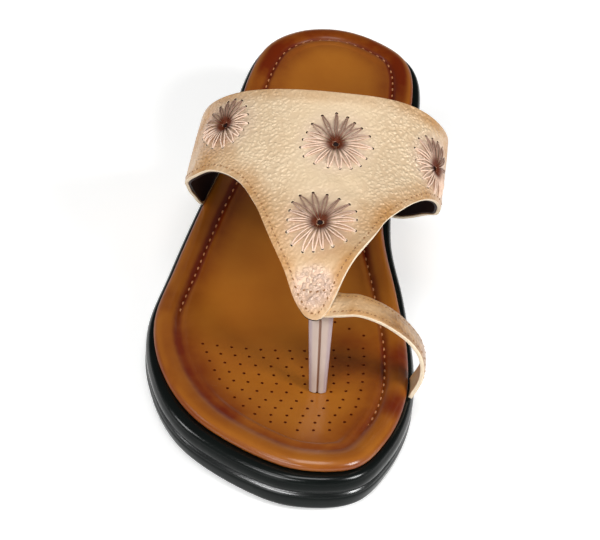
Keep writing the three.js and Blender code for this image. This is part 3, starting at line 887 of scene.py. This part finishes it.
vamp_tree = tree_of(vamp)
places = corners(vamp)
rows = places.reshape(VAMP_ROUND + 1, VAMP_ALONG + 1, 3)
rear_cut, front_cut = rows[:, 0].copy(), rows[:, -1].copy()
from_flower = distances(flower_spots, places) / MM
from_tip = np.linalg.norm(places - (np.array(TIP_FOIL) + SHIFT) * MM, axis=1) / MM
from_rear = distances(rear_cut, places) / MM
around = np.repeat(rear[:, 0] / AROUND_LENGTH, VAMP_ALONG + 1)
along = np.r_[0, np.cumsum(np.linalg.norm(np.diff(rear_cut, axis=0), axis=1))] / MM
mark(vamp, "along", np.repeat(along, VAMP_ALONG + 1))
mark(vamp, "from_rear", from_rear)
mark(vamp, "gathered", 1 - ease(from_rear, *GATHERS))
on_sides = 0.7 * ease(around, 0.06, 0.2) + 0.55 * ease(-around, 0.06, 0.2)
mark(vamp, "grain", 0.3 + on_sides + 1.3 * (1 - ease(from_tip, 4, 10)))
# Shares of rubbed tan: on the tongue, on both flanks, and along the front and rear edges
forward = -places[:, 1] / MM + SHIFT[1]
tongue = 0.85 * ease(forward, 22, 52) * (1 - 0.6 * ease(forward, 54, 64))
from_front = distances(front_cut, places) / MM
at_flank = np.maximum(0.9 * ease(around, 0.36, 0.5), ease(-around, 0.3, 0.42))
rear_rub = (0.45 + 0.5 * ease(np.abs(around), 0.12, 0.32)) * (1 - ease(from_rear, 1.5, 8))
rub = np.maximum.reduce([1 - ease(from_front, *RUB_EDGE), rear_rub, at_flank, tongue])
mark(vamp, "rubbed", rub)
foil_share = 0.9 * (1 - ease(from_tip, *FOIL_TIP))
for spot, strength in zip(flower_spots, FOIL_FLOWERS):
    away = np.linalg.norm(places - spot, axis=1) / MM
    foil_share = np.maximum(foil_share, strength * ease(away, 3, 6) * (1 - ease(away, *FOIL_ROUND)))
mark(vamp, "foil", foil_share)
# painted shade: dark brown in the dip at each flower's middle, lighter between its threads
thread_gap_shade = 0.3 * (1 - ease(from_flower, 6, 12))
mark(vamp, "shade_and_darkening", np.maximum(1 - ease(from_flower, *FLOWER_SHADE), thread_gap_shade))
modify(vamp, "SOLIDIFY", thickness=LEATHER * MM, offset=-1, use_even_offset=True, material_offset_rim=1)
modify(vamp, "BEVEL", width=CUT_ROUND * MM, segments=2, limit_method="ANGLE", angle_limit=math.radians(60))

lining = vamp_sheet("vamp_lining", LEATHER + LINING_GAP, LINING_TRIM)
modify(lining, "SOLIDIFY", thickness=LINING * MM, offset=-1, use_even_offset=True)
smooth(lining, 50)
lining.data.materials.append(leatherette)
for piece in (vamp, lining):
    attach(piece, "root")
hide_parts("upper")

# Flowers
# Four star flowers worked by hand on the vamp: a punched hole in the middle, and loops of rose metallic
# thread that run out from it to a ring of small punched holes.
SMALL_HOLE = 1.2
FLOWER_THREAD = 0.55
PETAL_SPREAD = 0.5  # half the width of a loop where it is widest
PETAL_STEPS = 10
PETAL_START = 0.45 * FLOWER_HOLE  # from the middle of the flower
PUNCH_PAST = 0.05  # how much deeper a punch goes than the leather

# Painted shade inside the punched holes and the needle holes: dark brown and dry
shade_and_darkening = new_material("painted_hole_shade")
shader = add(
    shade_and_darkening,
    "BsdfPrincipled",
    {"Base Color": "#3d1f0e", "Roughness": 0.7, "Specular IOR Level": 0.2},
)
add(shade_and_darkening, "OutputMaterial", {"Surface": shader})
vamp.data.materials.append(shade_and_darkening)

centres, centre_normals = settle(vamp_tree, flower_spots)
punches = [(spot, up, FLOWER_HOLE) for spot, up in zip(centres, centre_normals)]
loops = bpy.data.curves.new("flower_threads", "CURVE")
loops.dimensions = "3D"
loops.bevel_depth = FLOWER_THREAD / 2 * MM
loops.bevel_resolution = 1
loops.use_fill_caps = True
share = np.linspace(0, 1, PETAL_STEPS + 1)
bow = PETAL_SPREAD * np.sin(np.pi * share**1.3) + 0.2
lift = 0.5 * FLOWER_THREAD * (1.5 - 2.6 * np.abs(2 * share - 1) ** 4)
for flower, (spot, up) in enumerate(zip(centres, centre_normals)):
    ahead = np.cross(up, (1.0, 0, 0))
    ahead /= np.linalg.norm(ahead)
    side = np.cross(ahead, up)
    out = PETAL_START + (PETAL_REACH[flower] - PETAL_START) * share
    for petal in range(PETALS):
        stray = math.sin(7.3 * petal + 2.1 * flower)  # handwork is a little uneven
        turn = 2 * math.pi * (petal + 0.25 * flower + 0.22 * stray) / PETALS
        reach = 1 + 0.08 * math.cos(5.1 * petal + flower)
        ray = side * math.cos(turn) + ahead * math.sin(turn)
        sideways = ahead * math.cos(turn) - side * math.sin(turn)
        hole, hole_up = settle(vamp_tree, [spot + ray * reach * PETAL_REACH[flower] * MM])
        punches.append((hole[0], hole_up[0], SMALL_HOLE))
        for hand in (-1, 1):
            run = reach * out[:, None] * ray + hand * (1 + 0.3 * stray) * bow[:, None] * sideways
            path, path_up = settle(vamp_tree, spot + run * MM)
            path = path + path_up * lift[:, None] * MM
            spline = loops.splines.new("POLY")
            spline.points.add(PETAL_STEPS)
            spline.points.foreach_set("co", np.c_[path, np.ones(len(path))].ravel())
flower_threads = bpy.data.objects.new("flower_threads", loops)
bpy.context.collection.objects.link(flower_threads)
select(flower_threads)
bpy.ops.object.convert(target="MESH")
smooth(flower_threads, 80)
places = corners(flower_threads)
nearest = np.argmin(np.linalg.norm(places[:, None] - centres[None], axis=2), axis=1)
ray = (places - centres[nearest]) / MM
reach = np.linalg.norm(ray, axis=1)
# painted light and shade on the threads: dark near the middle and on the loops towards the heel
mark(flower_threads, "lit", ease(reach, 2.6, 6) * (1 - 0.7 * ease(ray[:, 1] / reach, 0, 0.7)))

for width, sides in ((FLOWER_HOLE, 24), (SMALL_HOLE, 10)):
    spots = np.array([spot for spot, _, size in punches if size == width])
    ups = np.array([up for _, up, size in punches if size == width])
    bpy.ops.object.select_all(action="DESELECT")
    bpy.ops.mesh.primitive_cylinder_add(
        vertices=sides, radius=width / 2 * MM, depth=2 * (LEATHER + PUNCH_PAST) * MM
    )
    punch = repeat("punch", bpy.context.object, spots, np.tile((0, 1.0, 0.1), (len(spots), 1)), ups)
    for finish in vamp.data.materials:
        punch.data.materials.append(finish)
    # the walls of the punched holes get the painted shade
    inside = vamp.data.materials.find(shade_and_darkening.name)
    punch.data.polygons.foreach_set("material_index", np.full(len(punch.data.polygons), inside))
    modify(vamp, "BOOLEAN", object=punch, operation="DIFFERENCE", solver="EXACT")
    bpy.data.objects.remove(punch)
smooth(vamp, 50)

# Metallic thread: rose gold film, with painted light and shade: dark brown near each flower's middle and on
# the loops towards the heel, pale rose on the rest. Its windings are drawn coarser than they are, to show.
rose_thread = new_material("rose_metallic_thread")
spot = add(rose_thread, "TexCoord", {}, output="Object")
twist = add(rose_thread, "TexNoise", {"Vector": spot, "Scale": 1 / (0.7 * MM), "Detail": 2})
tone = add(rose_thread, "MixRGB", {"Fac": twist, "Color1": "#d9ab8a", "Color2": "#fdeada"})
# painted shade where the threads are not lit, painted light where they are
tone = add(rose_thread, "MixRGB", {"Fac": "lit", "Color1": "#5e260a", "Color2": tone})
shader = add(
    rose_thread,
    "BsdfPrincipled",
    {"Base Color": tone, "Metallic": 0.15, "Roughness": 0.4, "Specular IOR Level": 0.2},
)
add(rose_thread, "OutputMaterial", {"Surface": shader})
flower_threads.data.materials.append(rose_thread)
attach(flower_threads, "root")

# Toe loop
# A narrow strap of the same leather, folded and sewn along both sides. It starts under the tip of the
# tongue, goes round the big toe and is tucked in between insole and sole.
LOOP_WALL = 1.6
LOOP_ROUND = 0.35  # how far its cut edges are rounded
LOOP_STEPS = 120
LOOP_ACROSS = 12
LOOP_CROWN = 0.45  # how far its middle stands over its edges
LOOP_FOIL = (48.5, -68, 25)  # middle of the foil patch on its outer face
TOE_LOOP = table(  # both edges of the strap, from under the tip down to the sole
    "frontX frontY frontZ rearX rearY rearZ",
    (7, -70.5, 43.6, 7, -64.4, 49.4),
    (11.5, -72, 44.6, 12.5, -63.6, 50),
    (17, -73, 47, 17.7, -62.9, 49),
    (23.7, -73.4, 48.8, 23, -63.3, 49.8),
    (31, -73.3, 47.2, 29.7, -63.5, 48.2),
    (38, -72.8, 43.2, 37, -63, 43.8),
    (44.4, -72.5, 37.8, 43.2, -62.4, 37.6),
    (48.6, -72.4, 31, 47.7, -62.2, 30.8),
    (49.6, -73, 22, 49.6, -62.6, 22),
    (46.7, -74, 12.9, 46.5, -63.2, 12.6),
)


def loop_side(side):
    return smooth_curve(np.stack([TOE_LOOP[side + axis] for axis in "XYZ"], axis=1), LOOP_STEPS)


loop_front, loop_rear = loop_side("front"), loop_side("rear")
across = loop_front - loop_rear
face = np.cross(across, np.gradient(loop_front + loop_rear, axis=0))
face /= np.linalg.norm(face, axis=1)[:, None]
share = np.linspace(0, 1, LOOP_ACROSS + 1)
crown = LOOP_CROWN * (1 - (2 * share - 1) ** 2)
loop_rows = (
    loop_rear[:, None] + across[:, None] * share[None, :, None] + face[:, None] * crown[None, :, None]
)
toe_loop = lay("toe_loop", loop_rows)
toe_loop.data.materials.append(pearl)
toe_loop.data.materials.append(raw_edge)
loop_tree = tree_of(toe_loop)
places = corners(toe_loop)
loop_cuts = (np.vstack([loop_front, loop_rear]) + SHIFT) * MM
away = np.repeat(np.linspace(0, 1, LOOP_STEPS + 1), LOOP_ACROSS + 1)
far_out = ease(away, 0.4, 0.55) * (1 - ease(away, 0.8, 0.9))
mark(toe_loop, "rubbed", np.maximum(1 - 0.3 * ease(distances(loop_cuts, places) / MM, 1.2, 4.6), far_out))
# darker brown where the loop runs down beside the big toe
mark(toe_loop, "shade_and_darkening", 0.4 * far_out)
from_patch = np.linalg.norm(places - (np.array(LOOP_FOIL) + SHIFT) * MM, axis=1) / MM
mark(toe_loop, "foil", 0.3 * (1 - ease(from_patch, 6, 11)))
mark(toe_loop, "grain", np.full(len(places), 0.5))
modify(
    toe_loop, "SOLIDIFY", thickness=LOOP_WALL * MM, offset=-1, use_even_offset=True, material_offset_rim=1
)
modify(
    toe_loop, "BEVEL", width=LOOP_ROUND * MM, segments=2, limit_method="ANGLE", angle_limit=math.radians(60)
)
smooth(toe_loop, 50)
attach(toe_loop, "root")

# Upper stitches
# Tan thread sewn along the vamp's front edge and both edges of the loop, with a bar across the tip. The
# needle leaves a small hole between each two stitches, drawn as a dark blob of painted shade.
UPPER_PITCH = 2.9
UPPER_STITCH = 0.6 * UPPER_PITCH
UPPER_INSET = 2.1  # from the cut edge to the stitches
LOOP_INSET = 1.7
UPPER_THREAD = 0.7
THREAD_SINK = 0.25 * UPPER_THREAD
NEEDLE_HOLE = 0.6
HOLE_LENGTH = 1.35 * NEEDLE_HOLE
HOLE_SINK = 0.5 * NEEDLE_HOLE
STITCH_SLANT = 0.3  # sideways for each millimetre along the seam
TIP_BAR = ((2.6, -64.2, 49.2), (7, -65.6, 49.8), (12, -66, 52.2))


def seam_in(edge, tree, inset):
    """The line on a sheet that runs a way in from its cut edge. Both are in metres."""
    _, up = settle(tree, edge)
    run = np.gradient(edge, axis=0)
    into = np.cross(up, run)
    into *= inset * MM / np.linalg.norm(into, axis=1)[:, None]
    sides = [settle(tree, edge + into * hand)[0] for hand in (-1, 1)]
    offs = [np.linalg.norm(line - edge - into * hand, axis=1).mean() for hand, line in zip((-1, 1), sides)]
    line = sides[int(np.argmin(offs))]
    return line[distances(edge, line) > 0.96 * inset * MM]  # without the ends, which meet another edge


def sew(name, lines, tree):
    """Stitches and needle holes by turns along lines on a sheet."""
    marks, runs, ups = [], [], []
    for line in lines:
        length = np.linalg.norm(np.diff(line, axis=0), axis=1).sum() / MM
        line = spaced(line, 2 * round(length / UPPER_PITCH) + 1)
        runs.append(np.gradient(line, axis=0))
        line, up = settle(tree, line)
        marks.append(line)
        ups.append(up)
    for kind, first, length, width, sink, slant, finish in (
        ("_stitches", 1, UPPER_STITCH, UPPER_THREAD, THREAD_SINK, STITCH_SLANT, tan_thread),
        # needle holes: dark blobs of painted shade, sunk into the leather
        ("_needle_holes", 0, HOLE_LENGTH, NEEDLE_HOLE, HOLE_SINK, 0, shade_and_darkening),
    ):
        spots, run, up = (np.vstack([part[first::2] for part in parts]) for parts in (marks, runs, ups))
        along = run + slant * np.cross(up, run)
        piece = repeat(name + kind, stitch(length, width), spots - up * sink * MM, along, up)
        smooth(piece, 80)
        piece.data.materials.append(finish)
        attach(piece, "root")


# Tan thread: polyester, a shade deeper than the leather
tan_thread = new_material("tan_polyester_thread")
shader = add(
    tan_thread,
    "BsdfPrincipled",
    {"Base Color": "#8f6231", "Roughness": 0.5, "Sheen Weight": 0.2},
)
add(tan_thread, "OutputMaterial", {"Surface": shader})

bar = smooth_curve((np.array(TIP_BAR) + SHIFT) * MM, 40)
sew("vamp", [seam_in(front_cut, vamp_tree, UPPER_INSET), bar], vamp_tree)
shown = slice(LOOP_STEPS // 6, -3)  # the loop starts under the tip and ends beside the insole
sew(
    "loop",
    [seam_in((side[shown] + SHIFT) * MM, loop_tree, LOOP_INSET) for side in (loop_front, loop_rear)],
    loop_tree,
)

# Toe post
# A pale strip folded round a core, its edges meeting in a seam down the front. It stands between the first
# two toes, from a slit in the insole to the underside of the tip.
POST_ROUND = 96
POST_STEPS = 24
POST_SQUARE = 0.7  # below 1 its section is squarer than an ellipse
POST_FOOT = {"x": 12.9, "y": -77.8, "width": 6.2, "thickness": 4}
POST_HEAD = {"x": 10.9, "y": -68.6, "width": 8.8, "thickness": 4.4}
LAP = 3.3  # room under the tongue for the end of the loop
POST_SEAM = 0.8  # depth of the seam
SEAM_WIDTH = 0.5

turn = np.linspace(0, 2 * np.pi, POST_ROUND, endpoint=False)


def post_ring(end):
    """Section of the post: a rounded bar with a seam pressed into its front."""
    x = end["width"] / 2 * np.cos(turn)
    y = end["thickness"] / 2 * np.sign(np.sin(turn)) * np.abs(np.sin(turn)) ** POST_SQUARE
    y += POST_SEAM * np.exp(-((x / SEAM_WIDTH) ** 2)) * (np.sin(turn) < 0)
    return np.stack([end["x"] + x, end["y"] + y, np.zeros(POST_ROUND)], axis=1)


def tongue_height(x, y, depth):
    """Height of the tongue's underside over the foot."""
    top_x, top, reach_x, reach, power = vamp_section(x > column(VAMP, "topX", y), y, depth)
    share = (x - top_x) / (reach_x - top_x)
    return reach + (top - reach + column(VAMP, "lean", y) * (x - top_x)) * (1 - share**power) ** (1 / power)


foot, head = post_ring(POST_FOOT), post_ring(POST_HEAD)
foot[:, 2] = footbed(foot[:, 0], foot[:, 1]) + SEAM
head[:, 2] = tongue_height(POST_HEAD["x"], head[:, 1], WALL + LAP) - SEAM
post_rows = [foot + (head - foot) * share for share in np.linspace(0, 1, POST_STEPS)]
post = weld(lay("toe_post_strip", post_rows, closed=True))
bpy.ops.object.mode_set(mode="EDIT")
bpy.ops.mesh.select_all(action="SELECT")
bpy.ops.mesh.fill_holes(sides=0)
bpy.ops.object.mode_set(mode="OBJECT")
smooth(post, 60)

share = np.clip((corners(post)[:, 2] / MM - foot[:, 2].mean()) / (head[:, 2] - foot[:, 2]).mean(), 0, 1)
middle = POST_FOOT["x"] + (POST_HEAD["x"] - POST_FOOT["x"]) * share + SHIFT[0]
width = POST_FOOT["width"] + (POST_HEAD["width"] - POST_FOOT["width"]) * share
mark(post, "across", np.abs(corners(post)[:, 0] / MM - middle) / (width / 2))

# Patent strip: pale pinkish cream with a gloss and brown in its seam; the lilac at its sides is painted
# sheen
patent = new_material("pale_patent_strip")
spot = add(patent, "TexCoord", {}, output="Object")
cloud = add(patent, "TexNoise", {"Vector": spot, "Scale": 1 / (8 * MM), "Detail": 2})
# painted sheen: lilac towards the sides of the strip
side_sheen = add(
    patent,
    "MapRange",
    {"Value": "across", "From Min": 0.55, "From Max": 0.8, "To Min": 0, "To Max": 1},
    interpolation_type="SMOOTHSTEP",
)
in_seam = add(
    patent,
    "MapRange",
    {"Value": "across", "From Min": 0.06, "From Max": 0.16, "To Min": 1, "To Max": 0},
    interpolation_type="SMOOTHSTEP",
)
tone = add(patent, "MixRGB", {"Fac": cloud, "Color1": "#ad978a", "Color2": "#beab9f"})
tone = add(patent, "MixRGB", {"Fac": side_sheen, "Color1": tone, "Color2": "#a48f8f"})
tone = add(patent, "MixRGB", {"Fac": in_seam, "Color1": tone, "Color2": "#7a4f34"})
shader = add(
    patent,
    "BsdfPrincipled",
    {"Base Color": tone, "Roughness": 0.3, "Coat Weight": 0.3, "Coat Roughness": 0.15},
)
add(patent, "OutputMaterial", {"Surface": shader})
post.data.materials.append(patent)
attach(post, "root")
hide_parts("toe_post")

# Studio
# A plain pale floor and soft lights all round, dim above so that dark gloss stays dark. The camera stands at
# the photograph's angle to the shoe.
FLOOR_SIZE = 8
EYE = (0.02835, -0.5154, 0.4324)  # the camera's place in metres, and its angles in degrees
AZIMUTH = 3.12
ELEVATION = 39.70
ROLL = 5.50
LENS = 101.3
LIT_POINT = (0, 0, 0.03)  # where all the lights point

bpy.ops.object.select_all(action="DESELECT")
bpy.ops.mesh.primitive_plane_add(size=FLOOR_SIZE)
floor = bpy.context.object
floor.name = "floor"
# Painted board: plain, pale and matt, with a glow of its own that keeps it near white
pale = new_material("pale_floor")
shader = add(
    pale,
    "BsdfPrincipled",
    {"Base Color": "#fafaf9", "Roughness": 0.7, "Emission Color": "#ffffff", "Emission Strength": 0.37},
)
add(pale, "OutputMaterial", {"Surface": shader})
floor.data.materials.append(pale)

azimuth, elevation, roll = (math.radians(angle) for angle in (AZIMUTH, ELEVATION, ROLL))
back = Vector(
    (math.sin(azimuth) * math.cos(elevation), -math.cos(azimuth) * math.cos(elevation), math.sin(elevation))
)
level = Vector((math.cos(azimuth), math.sin(azimuth), 0))
upright = back.cross(level)
right = level * math.cos(roll) + upright * math.sin(roll)
above = upright * math.cos(roll) - level * math.sin(roll)
bpy.ops.object.camera_add(location=EYE)
camera = bpy.context.object
camera.matrix_world = Matrix.Translation(EYE) @ Matrix((right, above, back)).transposed().to_4x4()
camera.data.lens = LENS
camera.data.clip_start = 0.01
bpy.context.scene.camera = camera

for name, place, width, height, power in (  # in metres and watts
    ("overhead", (0.05, -0.25, 1.2), 0.5, 0.5, 3.8),
    ("right", (0.95, -0.4, 0.75), 0.4, 0.4, 10),
    ("left", (-0.45, -1.04, 0.68), 0.9, 0.14, 5.4),
    ("high", (-0.5, -0.71, 0.98), 0.5, 0.25, 1.8),
    ("outer", (-1.1, -0.12, 0.65), 0.3, 0.3, 2.4),
    ("low", (-0.5, -1.1, 0.22), 0.5, 0.5, 1),
):
    bpy.ops.object.light_add(type="AREA", location=place)
    light = bpy.context.object
    light.name = name
    light.data.shape = "RECTANGLE"
    light.data.size = width
    light.data.size_y = height
    light.data.energy = power
    light.rotation_euler = (Vector(place) - Vector(LIT_POINT)).to_track_quat("Z", "Y").to_euler()

# Studio surround: bright low down, where the pale walls meet the floor, and dim above
world = bpy.data.worlds.new("studio")
bpy.context.scene.world = world
world.use_nodes = True
world.node_tree.nodes.clear()
direction = add(world, "TexCoord", {}, output="Generated")
height = add(world, "VectorMath", {0: direction, 1: (0, 0, 1)}, operation="DOT_PRODUCT")
glow = add(
    world,
    "MapRange",
    {"Value": height, "From Min": 0.05, "From Max": 0.35, "To Min": 0.5, "To Max": 0.08},
    interpolation_type="SMOOTHSTEP",
)
background = add(world, "Background", {"Color": "#ffffff", "Strength": glow})
add(world, "OutputWorld", {"Surface": background})
bpy.context.scene.view_settings.view_transform = "Standard"
